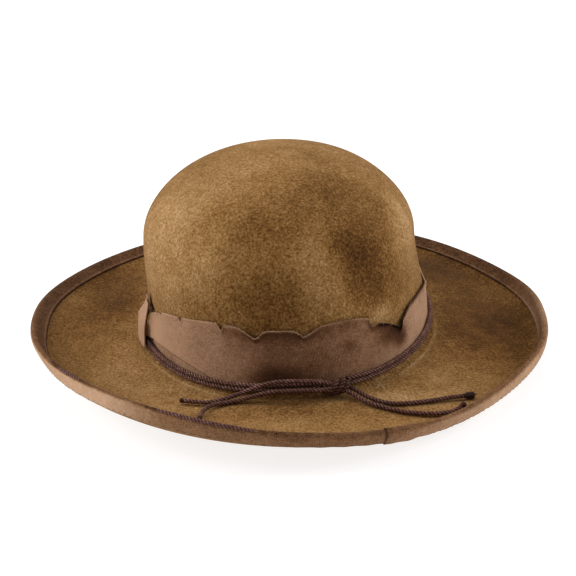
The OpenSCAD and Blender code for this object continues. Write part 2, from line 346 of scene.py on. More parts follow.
def frames(line):
    """Two directions across a line, carried along it without turning."""
    t = np.gradient(line, axis=0)
    t /= np.linalg.norm(t, axis=1, keepdims=True)
    u = np.cross(t[0], [0, 0, 1.0])
    if np.linalg.norm(u) < 0.1:
        u = np.cross(t[0], [1.0, 0, 0])
    across = []
    for d in t:
        u = u - d * (u @ d)
        u = u / np.linalg.norm(u)
        across.append(u)
    u = np.array(across)
    return u, np.cross(t, u)


def tube(line, radius, count=8):
    """Closed round tube along a line; radius is a number or one for each point."""
    u, v = frames(line)
    f = np.linspace(0, 2 * np.pi, count, endpoint=False)[None, :, None]
    r = np.broadcast_to(radius, len(line))[:, None, None]
    return loft(line[:, None] + r * (np.cos(f) * u[:, None] + np.sin(f) * v[:, None]), closed=False)


# ---------------- materials
def new_material(name, roughness, sheen=0.0, sheen_tint=(1, 1, 1), specular=0.5):
    material = bpy.data.materials.new(name)
    material.use_nodes = True
    shader = material.node_tree.nodes["Principled BSDF"]
    shader.inputs["Roughness"].default_value = roughness
    shader.inputs["Specular IOR Level"].default_value = specular
    shader.inputs["Sheen Weight"].default_value = sheen
    shader.inputs["Sheen Roughness"].default_value = 0.5
    shader.inputs["Sheen Tint"].default_value = (*sheen_tint, 1)
    return material, shader


class Nodes:
    """A new material, with short ways to add nodes to it."""

    def __init__(self, *look, **more):
        self.material, self.shader = new_material(*look, **more)
        self.tree = self.material.node_tree
        self.place = self.tree.nodes.new("ShaderNodeTexCoord").outputs["Object"]

    def link(self, value, socket):
        if isinstance(value, bpy.types.NodeSocket):
            self.tree.links.new(value, socket)
        else:
            socket.default_value = value

    def noise(self, size, detail=3.0, rough=0.5, stretch=None):
        """Noise whose features are about size millimetres wide."""
        node = self.tree.nodes.new("ShaderNodeTexNoise")
        node.inputs["Scale"].default_value = 1 / (size * MM)
        node.inputs["Detail"].default_value = detail
        node.inputs["Roughness"].default_value = rough
        vector = self.place
        if stretch:
            scale = self.tree.nodes.new("ShaderNodeVectorMath")
            scale.operation = "MULTIPLY"
            self.link(self.place, scale.inputs[0])
            scale.inputs[1].default_value = stretch
            vector = scale.outputs[0]
        self.link(vector, node.inputs["Vector"])
        return node.outputs["Fac"]

    def value(self, name):
        node = self.tree.nodes.new("ShaderNodeAttribute")
        node.attribute_name = name
        return node.outputs["Fac"]

    def math(self, operation, a, b=0.0, c=0.0):
        node = self.tree.nodes.new("ShaderNodeMath")
        node.operation = operation
        for value, socket in zip((a, b, c), node.inputs):
            self.link(value, socket)
        return node.outputs[0]

    def blend(self, base, *terms):
        """base plus the sum of weight * (value - 0.5)."""
        total = base
        for value, weight in terms:
            centred = self.math("SUBTRACT", value, 0.5)
            total = self.math("MULTIPLY_ADD", centred, weight, total)
        return total

    def ramp(self, fac, stops):
        node = self.tree.nodes.new("ShaderNodeValToRGB")
        node.color_ramp.interpolation = "EASE" if len(stops) < 3 else "LINEAR"
        elements = node.color_ramp.elements
        while len(elements) < len(stops):
            elements.new(0.5)
        for element, (at, colour) in zip(elements, stops):
            element.position = at
            element.color = (*colour, 1)
        self.link(fac, node.inputs["Fac"])
        return node.outputs["Color"]

    def mix(self, fac, a, b):
        node = self.tree.nodes.new("ShaderNodeMix")
        node.data_type = "RGBA"
        self.link(fac, node.inputs["Factor"])
        for value, socket in ((a, node.inputs["A"]), (b, node.inputs["B"])):
            self.link(value if isinstance(value, bpy.types.NodeSocket) else (*value, 1), socket)
        return node.outputs["Result"]

    def bump(self, height, distance, strength=1.0, normal=None):
        """A bump of that many millimetres."""
        node = self.tree.nodes.new("ShaderNodeBump")
        node.inputs["Distance"].default_value = distance * MM
        node.inputs["Strength"].default_value = strength
        self.link(height, node.inputs["Height"])
        if normal is not None:
            self.link(normal, node.inputs["Normal"])
        return node.outputs["Normal"]

    def finish(self, colour, normal):
        self.link(colour, self.shader.inputs["Base Color"])
        self.link(normal, self.shader.inputs["Normal"])
        return self.material


def felt_material():
    n = Nodes("worn_felt", 0.95, 0.07, (1.0, 0.72, 0.42), 0.08)
    broad, mottle, blotch = n.noise(42, 2), n.noise(13, 3), n.noise(4.5, 3)
    speck, hair = n.noise(1.5, 2, 0.6), n.noise(0.7, 2, 0.6)
    grain = ((broad, 0.20), (mottle, 0.30), (blotch, 0.22), (speck, 0.95), (hair, 0.65))
    tone = n.blend(n.value("tone"), *grain)
    brown = n.ramp(tone, [
        (0.0, (0.035, 0.012, 0.002)), (0.3, (0.115, 0.048, 0.010)), (0.52, (0.225, 0.110, 0.031)),
        (0.75, (0.350, 0.196, 0.076)), (1.0, (0.52, 0.335, 0.170)),
    ])
    rusty = n.blend(n.value("rust"), (mottle, 0.5), (speck, 0.3))
    rust = n.ramp(rusty, [(0.35, (0, 0, 0)), (1.0, (1, 1, 1))])
    colour = n.mix(n.math("MULTIPLY", rust, 0.55), brown, (0.26, 0.105, 0.022))
    fine = n.bump(hair, 0.25, 0.7)
    return n.finish(colour, n.bump(speck, 0.9, 0.9, n.bump(blotch, 0.4, 0.6, fine)))


def grosgrain_material(name, stops, rib_mm, rib_depth):
    """Ribbed ribbon. The mesh carries run, the millimetres along it, and tone, 0 dark to 1 light."""
    n = Nodes(name, 0.85, 0.02, (1.0, 0.75, 0.6), 0.08)
    broad, dirt, thread = n.noise(18, 3), n.noise(3.5, 3), n.noise(0.8, 2, 0.6)
    wobble = n.math("MULTIPLY_ADD", n.math("SUBTRACT", n.noise(5, 2), 0.5), 0.5, n.value("run"))
    rib = n.math("SINE", n.math("MULTIPLY", wobble, 2 * math.pi / rib_mm))
    rib_01 = n.math("MULTIPLY_ADD", rib, 0.5, 0.5)
    weft = n.noise(1.1, 2, stretch=(0.5, 0.5, 2.2))
    tone = n.blend(n.value("tone"), (broad, 0.20), (dirt, 0.24), (thread, 0.46), (weft, 0.30), (rib_01, 0.06))
    return n.finish(n.ramp(tone, stops), n.bump(rib_01, rib_depth, 0.9, n.bump(thread, 0.12, 0.6)))


def cord_material():
    n = Nodes("waxed_cord", 0.6, specular=0.15)
    patch, fibre = n.noise(7, 3), n.noise(0.5, 2)
    wave = n.math("SINE", n.math("MULTIPLY", n.value("run"), 2 * math.pi / 0.5))
    yarn = n.math("MULTIPLY_ADD", wave, 0.5, 0.5)
    tone = n.blend(n.value("tone"), (patch, 0.3), (fibre, 0.3), (yarn, 0.12))
    colour = n.ramp(tone, [
        (0.0, (0.008, 0.003, 0.002)), (0.42, (0.050, 0.018, 0.012)), (0.75, (0.150, 0.066, 0.046)),
        (1.0, (0.40, 0.23, 0.18)),
    ])
    return n.finish(colour, n.bump(yarn, 0.10, 0.8, n.bump(fibre, 0.1, 0.6)))


def thread_material(name, dark, light):
    n = Nodes(name, 0.6, 0.08, (1, 0.8, 0.6), 0.2)
    colour = n.ramp(n.blend(0.5, (n.noise(2.5, 2), 0.9), (n.noise(0.3, 2), 0.6)), [(0.1, dark), (0.9, light)])
    return n.finish(colour, n.bump(n.noise(0.25, 2), 0.08))


def leather_material():
    n = Nodes("sweatband_leather", 0.45)
    stain, crease, pore = n.noise(28, 4), n.noise(3.2, 4, 0.6), n.noise(0.6, 2)
    colour = n.ramp(n.blend(0.55, (stain, 0.9), (crease, 0.35), (pore, 0.15)), [
        (0.1, (0.060, 0.026, 0.010)), (0.5, (0.150, 0.072, 0.028)), (0.95, (0.270, 0.150, 0.068)),
    ])
    n.link(n.math("MULTIPLY_ADD", crease, 0.35, 0.3), n.shader.inputs["Roughness"])
    return n.finish(colour, n.bump(pore, 0.12, 0.7, n.bump(crease, 0.3, 0.6)))


def steel_material():
    n = Nodes("wire_steel", 0.35)
    n.shader.inputs["Metallic"].default_value = 1
    colour = n.ramp(n.noise(2, 3), [(0.3, (0.30, 0.29, 0.27)), (0.75, (0.52, 0.52, 0.52))])
    return n.finish(colour, n.bump(n.noise(0.4, 2), 0.03))


FELT_LOOK = felt_material()
RIBBON_LOOK = grosgrain_material("worn_ribbon", [
    (0.0, (0.012, 0.006, 0.004)), (0.2, (0.056, 0.022, 0.010)), (0.45, (0.105, 0.046, 0.021)),
    (0.58, (0.178, 0.085, 0.041)), (0.75, (0.310, 0.172, 0.100)), (0.84, (0.390, 0.230, 0.138)),
    (1.0, (0.500, 0.300, 0.185))], 0.85, 0.10)
BINDING_LOOK = grosgrain_material("rim_ribbon", [
    (0.0, (0.010, 0.004, 0.003)), (0.2, (0.050, 0.020, 0.008)), (0.44, (0.180, 0.086, 0.038)),
    (0.65, (0.330, 0.190, 0.105)), (1.0, (0.580, 0.365, 0.230))], 0.95, 0.10)
CORD_LOOK = cord_material()
THREAD_LOOK = thread_material("brown_thread", (0.035, 0.018, 0.012), (0.15, 0.09, 0.06))
PALE_THREAD_LOOK = thread_material("pale_thread", (0.22, 0.14, 0.08), (0.55, 0.40, 0.26))
LEATHER_LOOK = leather_material()
STEEL_LOOK = steel_material()

# ---------------- cords
# Routes of the four free ends over the brim, begun inside the knot. They are the CAD's, but the lower left
# one lies up to 3 mm beside it
ROUTES = {
    "tail_left_upper": [
        (24, -107.2, 9.6), (18.5, -108.5, 11.6), (12, -109.8, 12.9), (5, -110.3, 13.5),
        (-6, -110.2, 13.5), (-15, -109.4, 11.6), (-24, -107.8, 7.6), (-31, -108, 5.2), (-38, -109.2, 3.6),
        (-46, -111, 2.9), (-54, -109.5, 2.9), (-61, -107.5, 2.9),
    ],
    "tail_left_lower": [
        (24.5, -108.6, 7.4), (18.5, -111.2, 8), (12, -112.6, 8.7), (5, -113.2, 9), (-6, -113.2, 9),
        (-15, -112, 7.4), (-24, -110.6, 4.6), (-31, -111, 3), (-38, -112.4, 2.7), (-44.5, -115.2, 2.7),
        (-48.5, -121.5, 2.9), (-50.5, -133, 3.7),
    ],
    "tail_right_upper": [
        (30, -105.6, 8.2), (35, -105.4, 6.2), (40, -108.5, 4), (44.5, -111.5, 2.6), (49, -113.8, 1.6),
        (56, -115.6, 0.6), (63, -115.2, -0.1), (76, -111.8, -0.9), (91, -107, -1.2), (99, -106, -1),
    ],
    "tail_right_lower": [
        (29, -107.6, 6.8), (34, -109, 4.8), (39, -112.8, 2.8), (43.5, -116, 1.6), (49, -118.6, 0.8),
        (59, -122.4, -0.7), (71, -124.8, -1.7), (83, -125.2, -2.1), (91, -124, -1.5), (96.5, -120.5, 0.3),
    ],
}
PLIES, PLY_PITCH, PLY_SIDES = 3, 6.4, 9
# A ply's radius as a share of the cord's width, and the share of the cord's radius where the painted ply
# shading is nought
PLY_SHARE, PLY_SHADING_MIDDLE = 0.255, 0.84
# Strength of the painted ply shading: painted highlight on the plies' outsides, painted shade in the grooves
# between them
PLY_SHADING = 2.4
WANDER_STEP = 8
TIP_TONE = 0.25


def twisted(line, turn, size=CORD):
    """Twisted plies along a line: points, faces, run, and painted shading that is light on the plies'
    outsides and dark in the grooves.
    """
    ply_r = PLY_SHARE * size
    off = size / 2 - ply_r
    u, v = frames(line)
    along = distances(line)
    knots = np.arange(0, along[-1] + WANDER_STEP, WANDER_STEP)
    wander = 0.25 * np.interp(along, knots, random.normal(0, 1, int(along[-1] / WANDER_STEP) + 2))
    parts, run, ply_shading = [], [], []
    for k in range(PLIES):
        f = 2 * np.pi * (along * CORD / (PLY_PITCH * size) + k / PLIES) + turn + wander
        centre = line + off * (np.cos(f)[:, None] * u + np.sin(f)[:, None] * v)
        radius = ply_r * (1 + 0.04 * np.sin(along * 1.7 + k))
        part = tube(centre, radius, PLY_SIDES)
        parts.append(part)
        spiral = np.arange(PLY_SIDES)[None, :] / PLY_SIDES
        run.append((along[:, None] * 0.35 + spiral).ravel())
        from_line = part[0].reshape(len(line), PLY_SIDES, 3) - line[:, None]
        reach = np.linalg.norm(from_line, axis=2) / (size / 2)
        ply_shading.append((PLY_SHADING * (reach - PLY_SHADING_MIDDLE)).ravel())
    points, faces = joined(parts)
    return points, faces, np.concatenate(run), np.concatenate(ply_shading)


def melted_end(middle, direction, radius, length):
    """Dark rounded tip over a cord's cut end."""
    direction = np.asarray(direction, float) / np.linalg.norm(direction)
    f = np.linspace(0, np.pi, 9)
    line = np.asarray(middle) + direction * (-np.cos(f)[:, None] * length / 2)
    r = radius * np.sin(np.clip(f, 0.22, np.pi - 0.12)) ** 0.55
    return tube(line, r, 16)


def twisted_piece(name, lines, turns, tone, share=1.0, slot="cord", size=CORD):
    """One piece of twisted plies along several lines; share is how strongly the painted ply shading shows."""
    points, faces, run, ply_shading = zip(*(twisted(line, turn, size) for line, turn in zip(lines, turns)))
    points, faces = joined(zip(points, faces))
    return mesh_piece(name, points, faces, CORD_LOOK, slot, {
        "run": np.concatenate(run), "tone": tone + share * np.concatenate(ply_shading)})


def make_tail(name, tone, tip_radius, turn):
    line = spline(ROUTES[name], 0.5)
    points, faces, run, ply_shading = twisted(line, turn)
    tip = melted_end(line[-1], line[-1] - line[-5], tip_radius, 2 * tip_radius)
    points, faces = joined([(points, faces), tip])
    piece = mesh_piece(name + "_cord", points, faces, CORD_LOOK, "cord", {
        "run": np.concatenate([run, np.zeros(len(tip[0]))]),
        "tone": np.concatenate([tone + ply_shading, np.full(len(tip[0]), TIP_TONE)])})
    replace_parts(piece, name)
    return piece, line


def make_whipping():
    """Knob at the end of the right upper tail: a thread wound round it in rings, with a domed cut end."""
    start = np.array(ROUTES["tail_right_upper"][-1], float)
    direction = np.array(WHIPPING_PLACE) - start
    direction /= np.linalg.norm(direction)
    length, rings = 5.2, 5
    t = np.linspace(0, 1, 60)
    bulge = 1.75 + 0.34 * np.abs(np.sin(np.pi * rings * t)) ** 0.7
    r = bulge * np.clip(np.sin(np.pi * np.clip(t, 0.02, 0.98)) * 4.5, 0, 1) ** 0.5
    knob = tube(start + direction * (t[:, None] * length), r, 20)
    fluff = []
    end = start + direction * length
    for _ in range(16):
        side = random.normal(0, 1, 3)
        far = end + direction * random.uniform(0.3, 1.1) + side * 0.8
        fluff.append(tube(spline([end - direction, end + side * 0.5, far], 0.4), 0.09, 4))
    points, faces = joined([knob, *fluff])
    piece = mesh_piece("whipped_knob", points, faces, CORD_LOOK, "thread", {
        "run": np.zeros(len(points)), "tone": np.full(len(points), 0.28)})
    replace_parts(piece, "tail_whipping")
    return piece


def make_tails():
    knob = make_whipping()
    looks = {
        "tail_left_upper": (0.45, 1.5, 0.0), "tail_left_lower": (0.40, 1.6, 1.1),
        "tail_right_upper": (0.40, 1.5, 2.0), "tail_right_lower": (0.42, 1.7, 0.6)}
    for name, (tone, tip, turn) in looks.items():
        piece, line = make_tail(name, tone, tip, turn)


# The cords get a painted shadow where the ribbon's last end stands over them: its middle and reach in degrees
CORD_SHADOW_AT, CORD_SHADOW_OVER = 199, 6.5


def make_strands():
    """The two cords where they go round the crown, from the knot and back to it."""
    clear, off, rise = 4.2, CORD / 2 + 1.9, 1.42
    for name, side, turn in (("cord_strand_upper", 1, 0.4), ("cord_strand_lower", -1, 1.7)):
        a = np.linspace(KNOT_ANGLE + clear, KNOT_ANGLE + 360 - clear, 1400)
        sag = 0.35 * np.sin(np.radians(a * 5 + 70 * side)) + 0.25 * np.sin(np.radians(a * 11))
        z = around(CORD_HEIGHT, a) + side * rise + 0.25 * sag
        line = on_wall(a, z, off + 0.15 * sag)
        points = spline(line[::4], 0.5)
        # Painted shadow on the cords under the ribbon's last end
        shadow = 0.65 * np.exp(-(((polar(points)[0] % 360 - CORD_SHADOW_AT) / CORD_SHADOW_OVER) ** 2))
        tone = np.tile(np.repeat(0.47 - shadow, PLY_SIDES), PLIES)
        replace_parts(twisted_piece("ring_" + name, [points], [turn], tone), name)


def make_knot():
    """Two slanting wraps over the bundle of strands, with the strands' ends passing under them."""
    middle = np.array(KNOT_PLACE)
    along = np.array([cosd(KNOT_ANGLE + 90), sind(KNOT_ANGLE + 90), 0])
    out = np.array([cosd(KNOT_ANGLE), sind(KNOT_ANGLE), 0])
    up = np.array([0, 0, 1.0])
    parts = []
    slant, pitch, turns = 0.8, 3.9, 1.9
    f = np.linspace(-0.5, turns + 0.5, 150)
    ease = smooth((f + 0.5) / 0.6) * smooth((turns + 0.5 - f) / 0.6)
    radius = 1.2 + 2.5 * ease
    spin = 2 * np.pi * f
    run = pitch * (f - turns / 2)
    wrap = middle + np.outer(run, along)
    wrap += np.outer(radius * np.sin(spin), up + slant * along) + np.outer(radius * np.cos(spin), out)
    parts.append(wrap)
    for rise, reach in ((2.0, 0.4), (-1.8, 0.6), (0.4, -1.6), (0.2, 2.2)):
        parts.append(middle + np.outer(np.linspace(-8.4, 8.4, 30), along) + up * rise + out * reach)
    lines = [spline(line, 0.5) for line in parts]
    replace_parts(twisted_piece("knot", lines, [i * 1.3 for i in range(len(lines))], 0.34), "cord_knot")


make_tails()
make_strands()
make_knot()

# ---------------- felt
# Stains and worn places of the felt, with painted shade and light: darker (-) in the crown's hollows, on the
# brim at the back and next to the crown, lighter (+) on the crown's swells: [centre, radius, depth]
FELT_STAINS_LIGHT_AND_SHADE = [
    ((-12, -100, 50), (46, 40, 20), -0.20), ((36, -72, 72), (14, 30, 26), -0.22),
    ((30, -34, 102), (18, 14, 12), -0.16), ((50, -45, 84), (15, 20, 14), -0.14),
    ((54, -66, 56), (14, 22, 18), -0.16), ((22, -90, 66), (10, 24, 22), 0.13),
    ((33, -86, 72), (8, 10, 8), 0.10), ((68, -20, 88), (12, 14, 10), 0.15),
    ((73, -30, 66), (10, 18, 16), 0.14), ((-54, -43, 90), (26, 26, 22), 0.14),
    ((-74, -34, 60), (24, 34, 34), 0.16), ((-12, -16, 111), (26, 18, 12), 0.12),
    ((20, -2, 112), (20, 14, 12), -0.10), ((-38, -58, 95), (12, 10, 10), -0.08),
    ((-30, -86, 70), (24, 24, 20), -0.06), ((0, -80, 88), (30, 24, 12), -0.06),
    ((-108, 44, 0), (16, 30, 12), -0.30), ((-120, 90, 0), (22, 26, 12), -0.14),
    ((134, 5, -3), (16, 40, 12), -0.26), ((110, 30, -2), (16, 26, 12), -0.14),
    ((126, -30, -2), (16, 18, 12), 0.06), ((-104, -48, 1), (26, 24, 12), 0.06),
    ((-70, -96, 1), (30, 26, 12), 0.08), ((20, -130, 0), (50, 16, 12), 0.06),
    ((-5, -121, 0), (44, 8, 10), -0.18), ((92, -84, -1), (26, 24, 12), 0.08),
    ((0, 130, 0), (70, 30, 14), -0.12), ((-60, 100, 0), (34, 34, 14), -0.10),
    ((60, 110, 0), (34, 34, 14), -0.12), ((-40, 80, 80), (28, 30, 20), -0.10),
    ((50, 60, 80), (22, 26, 24), 0.08), ((0, 40, 111), (30, 26, 12), 0.08),
    ((-128, 0, 4), (22, 34, 12), -0.12), ((-98, -62, 1), (28, 24, 12), 0.07),
    ((-108, 90, -2), (26, 30, 12), -0.16), ((-40, -117, 1), (24, 10, 10), 0.12),
    ((-80, -96, 1), (20, 18, 12), 0.06), ((118, -14, -2), (26, 42, 12), -0.25),
    ((102, 100, -4), (42, 48, 14), -0.30), ((66, -106, -1), (38, 8, 10), 0.17),
    ((-46, -82, 70), (16, 14, 14), 0.16), ((-32, -92, 54), (18, 14, 16), 0.11),
    ((-66, -60, 52), (14, 16, 14), 0.06), ((-8, -70, 95), (16, 16, 12), -0.06),
    ((14, -90, 72), (10, 14, 18), 0.10), ((32, -82, 76), (11, 14, 11), -0.12),
    ((31, -90, 53), (14, 14, 13), 0.18), ((48, -66, 79), (11, 14, 11), -0.10),
    ((67, -40, 74), (10, 18, 16), 0.15), ((32, -48, 98), (14, 14, 10), -0.06),
    # Painted highlight on the felt above the ribbon's right-hand tear, and painted shadow in the gap behind
    # the ribbon's last end
    ((57, -77, 38), (9, 9, 5), 0.42), ((-82, -27, 20), (5, 6, 9), -0.5), ((100, 84, -3), (40, 40, 14), -0.13),
    ((118, -5, -3), (30, 40, 12), -0.09), ((116, -32, -2), (26, 28, 12), -0.12),
    ((40, -76, 62), (15, 18, 20), -0.09), ((16, -50, 102), (20, 22, 12), -0.09),
    ((-8, -75, 88), (20, 26, 22), -0.07), ((62, -60, 52), (12, 18, 14), -0.06),
    ((70, -42, 56), (10, 14, 16), -0.06),
]
# Rusty places of the felt
FELT_RUST = [
    ((-60, -120, 2), (44, 24, 14), 0.30), ((40, -134, -1), (60, 20, 12), 0.24),
    ((-40, -60, 94), (20, 18, 16), 0.22), ((-128, -20, 3), (24, 40, 12), 0.20),
    ((120, -50, -2), (24, 34, 12), 0.22), ((40, -60, 86), (26, 26, 20), 0.18),
    ((118, 0, -3), (34, 50, 12), 0.35), ((-108, 30, 0), (30, 40, 12), 0.25),
]

# Where the painted highlight on the crease outside the cord shows: [angle, share]
CREASE_PLACES = [
    (0, 0.4), (12, 0), (205, 0), (222, 1), (246, 1), (254, 0), (306, 0), (314, 1), (342, 1), (360, 0.4),
]
CREASE_AT, CREASE_WIDE = 5.9, 1.0


def crease_highlight(points):
    """Painted highlight along the ridge where the brim breaks just outside the cord, in front and at both
    sides of the knot.
    """
    a, r = polar(points)
    where = along_list(CREASE_PLACES, a % 360)
    line = np.exp(-(((r - oval(a) - CREASE_AT) / CREASE_WIDE) ** 2))
    return 0.24 * where * line * (points[..., 2] < 8)


def make_felt():
    columns = 400
    a = np.linspace(0, 360, columns, endpoint=False)[:, None]
    mid = section_mid(a)
    side = sides(mid)
    shift = felt_swell(place(a, mid))[..., None]
    top = place(a, mid + (HALF + shift) * side)
    under = place(a, mid + (shift - HALF) * side)
    rows = mid.shape[1]
    rings = np.concatenate([top, under[:, ::-1]], axis=1)
    points = rings.reshape(-1, 3)
    count = 2 * rows
    faces = grid_faces(columns, count, wrap_n=True)
    poles = []
    for j, height in ((0, HALF), (count - 1, -HALF)):
        middle = rings[:, j].mean(0)
        poles.append(middle + [0, 0, 0.02])
        centre = len(points) + len(poles) - 1
        ring = [(i * count + j, ((i + 1) % columns) * count + j) for i in range(columns)]
        faces += [[centre, q, p] if j == 0 else [centre, p, q] for p, q in ring]
    points = np.concatenate([points, poles])
    # Stains and wear with painted shade and light, and the painted highlight on the brim's crease
    tone = patches(points, FELT_STAINS_LIGHT_AND_SHADE, 0.56)
    angle, reach = polar(points)
    tone += crease_highlight(points) - 0.04 * (reach > oval(angle) + 2)
    piece = mesh_piece("felt", points, faces, FELT_LOOK, "felt", {
        "tone": tone, "rust": patches(points, FELT_RUST, 0.18)})
    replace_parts(piece, "felt_body")


# ---------------- hatband
# Upper edge of the hatband from its pointed end at the wearer's right, in front: [angle, height]
TORN_EDGE = [
    (195.4, 9.4), (198, 13.5), (201.5, 20), (204.7, 27.3), (209, 29.8), (213.5, 32.1), (215.3, 31.4),
    (217.3, 34.6), (222, 36.3), (228.8, 38.3), (229.5, 36.6), (230.3, 35.2), (231, 38.6), (235, 39.6),
    (239, 40.7), (243, 41.5), (247.2, 42.1), (248, 40.2), (248.6, 38.5), (249.4, 40.4), (250, 41.8),
    (253.5, 42.1), (255.6, 41.4), (257.2, 39.9), (258.8, 38.2), (260, 36.8), (261, 37.2), (262.1, 38.4),
    (263.2, 40.2), (264.6, 41.2), (268, 41.2), (272.5, 40.9), (274.3, 39.6), (275.4, 37.6), (276.7, 37.4),
    (278.4, 38.9), (280, 40.3), (282.3, 41.8), (286, 42.2), (290, 42), (293.2, 41.6), (296.3, 40.8),
    (299.4, 39.4), (299.9, 36.8), (300.3, 34.6), (301.6, 34.4), (303.5, 34.4), (306.2, 33.2), (309.1, 31.2),
    (311.9, 28.2), (314.2, 24.8), (315, 25.6), (316, 28), (317.5, 30), (319.4, 31.2), (321, 32),
    (323.7, 33.6), (327, 34), (332, 34), (337, 33.8), (343, 33.2), (348, 32.4), (352, 31.6), (354, 30),
    (357, 27.5), (362, 26), (372, 27), (385, 31), (400, 36), (420, 39.5), (440, 41), (480, 41), (505, 33),
    (520, 25), (535, 19), (545, 17), (550, 19), (553, 22.5), (556, 28), (558, 32), (560, 37), (561, 37.5),
]
# Lower edge: it rises to the pointed end
FOLD_EDGE = [
    (195.4, 8.6), (202, 9.8), (208, 10.8), (216, 12), (227, 12), (236, 10.5), (244, 7.5), (250, 4.6),
    (365, 4.6), (530, 4.6), (536, 10.2), (543, 10.2), (549, 9.5), (551, 6.8), (554, 4.6), (558, 3),
    (561, 2.8),
]
# How far the last end stands off the felt, over the cords: [angle, millimetres]
END_LIFT = [(536, 0), (543, 4), (547, 5.6), (551, 6.2), (554, 6.2), (557, 5.8), (561, 4.6)]
# How far the torn edge curls off the felt: [angle, millimetres]
EDGE_CURL = [
    (197, 0.6), (205, 0.8), (216, 0.5), (228, 0.9), (232, 0.4), (246, 0.5), (249, 1.1), (252, 0.5),
    (256, 1.2), (260, 2.6), (264, 2.0), (270, 1.5), (275.5, 2.4), (281, 1.3), (290, 0.6), (298, 0.9),
    (301, 1.8), (307, 3.0), (313, 2.6), (317, 1.6), (325, 1.1), (338, 0.8), (346, 1.1), (352, 1.7),
    (358, 0.9), (365, 0.5),
]
CURL_DEPTH = 6
BAND_STEP = 0.22
BAND_END = 561
RIBBON = 0.6


def along_list(points, a):
    x, y = np.array(points, float).T
    return np.interp(a, x, y)


def arc_length(a):
    """Distance round the crown's wall, from the first of the angles a."""
    height, off = 20.0, 1.0
    return distances(on_wall(a, height + 0 * a, off))


def ribbon_piece(name, a, low, high, off, rows, tone):
    """Both faces of a strip on the crown's wall. off and tone are numbers, or functions of place and edge."""
    k = np.linspace(0, 1, rows)[None, :]
    z = low[:, None] + (high - low)[:, None] * k
    stand = off(a[:, None], z, high[:, None]) if callable(off) else off
    inner, outer = on_wall(a[:, None], z, stand), on_wall(a[:, None], z, stand + RIBBON)
    points, faces = loft(np.concatenate([inner, outer[:, ::-1]], axis=1), closed=False)
    if callable(tone):
        tone = tone(a[:, None], np.concatenate([z, z[:, ::-1]], axis=1), high[:, None])
    return mesh_piece(name, points, faces, RIBBON_LOOK, "ribbon", {
        "run": np.repeat(arc_length(a), 2 * rows), "tone": np.broadcast_to(tone, (len(a), 2 * rows))})


def ripple(a, z):
    """Slight uneven lie of the ribbon, in millimetres."""
    return 0.22 * np.sin(np.radians(a * 9) + z / 9) + 0.16 * np.sin(np.radians(a * 23 + 40) - z / 6)


def band_off(a, z, high):
    """How far the ribbon stands off the felt: it ripples, curls at its torn edge and lifts at both ends."""
    curl = along_list(EDGE_CURL, a)
    reach = np.clip((z - (high - CURL_DEPTH)) / CURL_DEPTH, 0, 1)
    bulge = along_list(END_LIFT, a) * (1 - 0.85 * smooth((z - 13) / 23)) * (a > 400)
    lift = 4.2 * np.clip((205 - a) / 9.6, 0, 1) ** 1.3
    return 0.8 + 0.7 * ripple(a, z) + curl * reach**2.2 + bulge + lift


# Darker places of the ribbon, lighter where the depth is negative, among them the dark fading down under the
# right-hand tear: [angle, height, half width in degrees, half height, depth]
RIBBON_DARK_PLACES = [
    (265, 13, 9, 6, 0.33), (291, 27, 2.2, 3, 0.16), (310, 25, 7, 6, 0.50), (315, 19, 4, 5, 0.45),
    (303, 32, 5, 3, 0.25), (272, 38, 14, 4, 0.14), (255, 38, 8, 3, 0.10), (210, 17, 9, 12, -0.14),
    (254, 16, 8, 8, -0.10), (271, 24, 7, 5, -0.06), (343, 31, 8, 8, 0.12), (290, 40, 8, 3, 0.05),
    (205, 24, 5, 8, -0.06), (558, 14, 8, 20, -0.05),
]
BURNT_PLACES = [(300, 0), (304, 1), (316, 1), (326, 0.9), (342, 0.5), (356, 0)]


def band_tone(a, z, high):
    """Light pinkish at both sides of the front, dark in the middle, burnt at the right-hand tear, with a
    painted highlight on the curled torn edge and painted shade just below it.
    """
    middle = np.exp(-(((a - 277) / np.where(a < 277, 33, 32)) ** 2))
    tone = 0.92 - 0.365 * middle
    for centre, height, wide, tall, depth in RIBBON_DARK_PLACES:
        tone = tone - depth * np.exp(-(((a - centre) / wide) ** 2) - ((z - height) / tall) ** 2)
    burnt = along_list(BURNT_PLACES, a)
    tone = tone - 0.7 * burnt * np.exp(-(((high - z) / 1.5) ** 2))
    lip = along_list(EDGE_CURL, a) * (1 - burnt) * (a < 330)
    # Painted shade on the ribbon just below its curled lip
    shade = 0.10 * np.clip(lip - 1, 0, 2) * np.exp(-(((high - z - 2.2) / 1.0) ** 2))
    # Painted highlight along the curled lip's top edge
    return tone + 0.24 * np.clip(lip - 0.3, 0, 2) * np.exp(-(((high - z) / 0.6) ** 2)) - shade


def make_band():
    a = np.arange(TORN_EDGE[0][0], BAND_END, BAND_STEP)
    torn = (a > 214) & (a < 330)
    fray = np.where(torn, random.normal(0, 0.16, len(a)), random.normal(0, 0.04, len(a)))
    high = along_list(TORN_EDGE, a) + fray
    low = along_list(FOLD_EDGE, a)
    piece = ribbon_piece("hatband", a, low, high, band_off, 30, band_tone)
    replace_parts(piece, "hatband_ribbon")
    return piece, a, high


def make_under_layer():
    """Short tucked piece of the ribbon that shows below the fold at the pointed end."""
    a = np.arange(200.5, 252, BAND_STEP)
    high = along_list([(200.5, 6), (203, 11), (210, 14), (236, 14), (252, 8)], a)
    return ribbon_piece("hatband_turned_end", a, np.full(len(a), 3.6), high, 0.25, 10, 0.80)


def corner_off(a, z, high):
    return 0.4 + 1.6 * np.sin(np.pi * np.clip((a - 194) / 12, 0, 1))


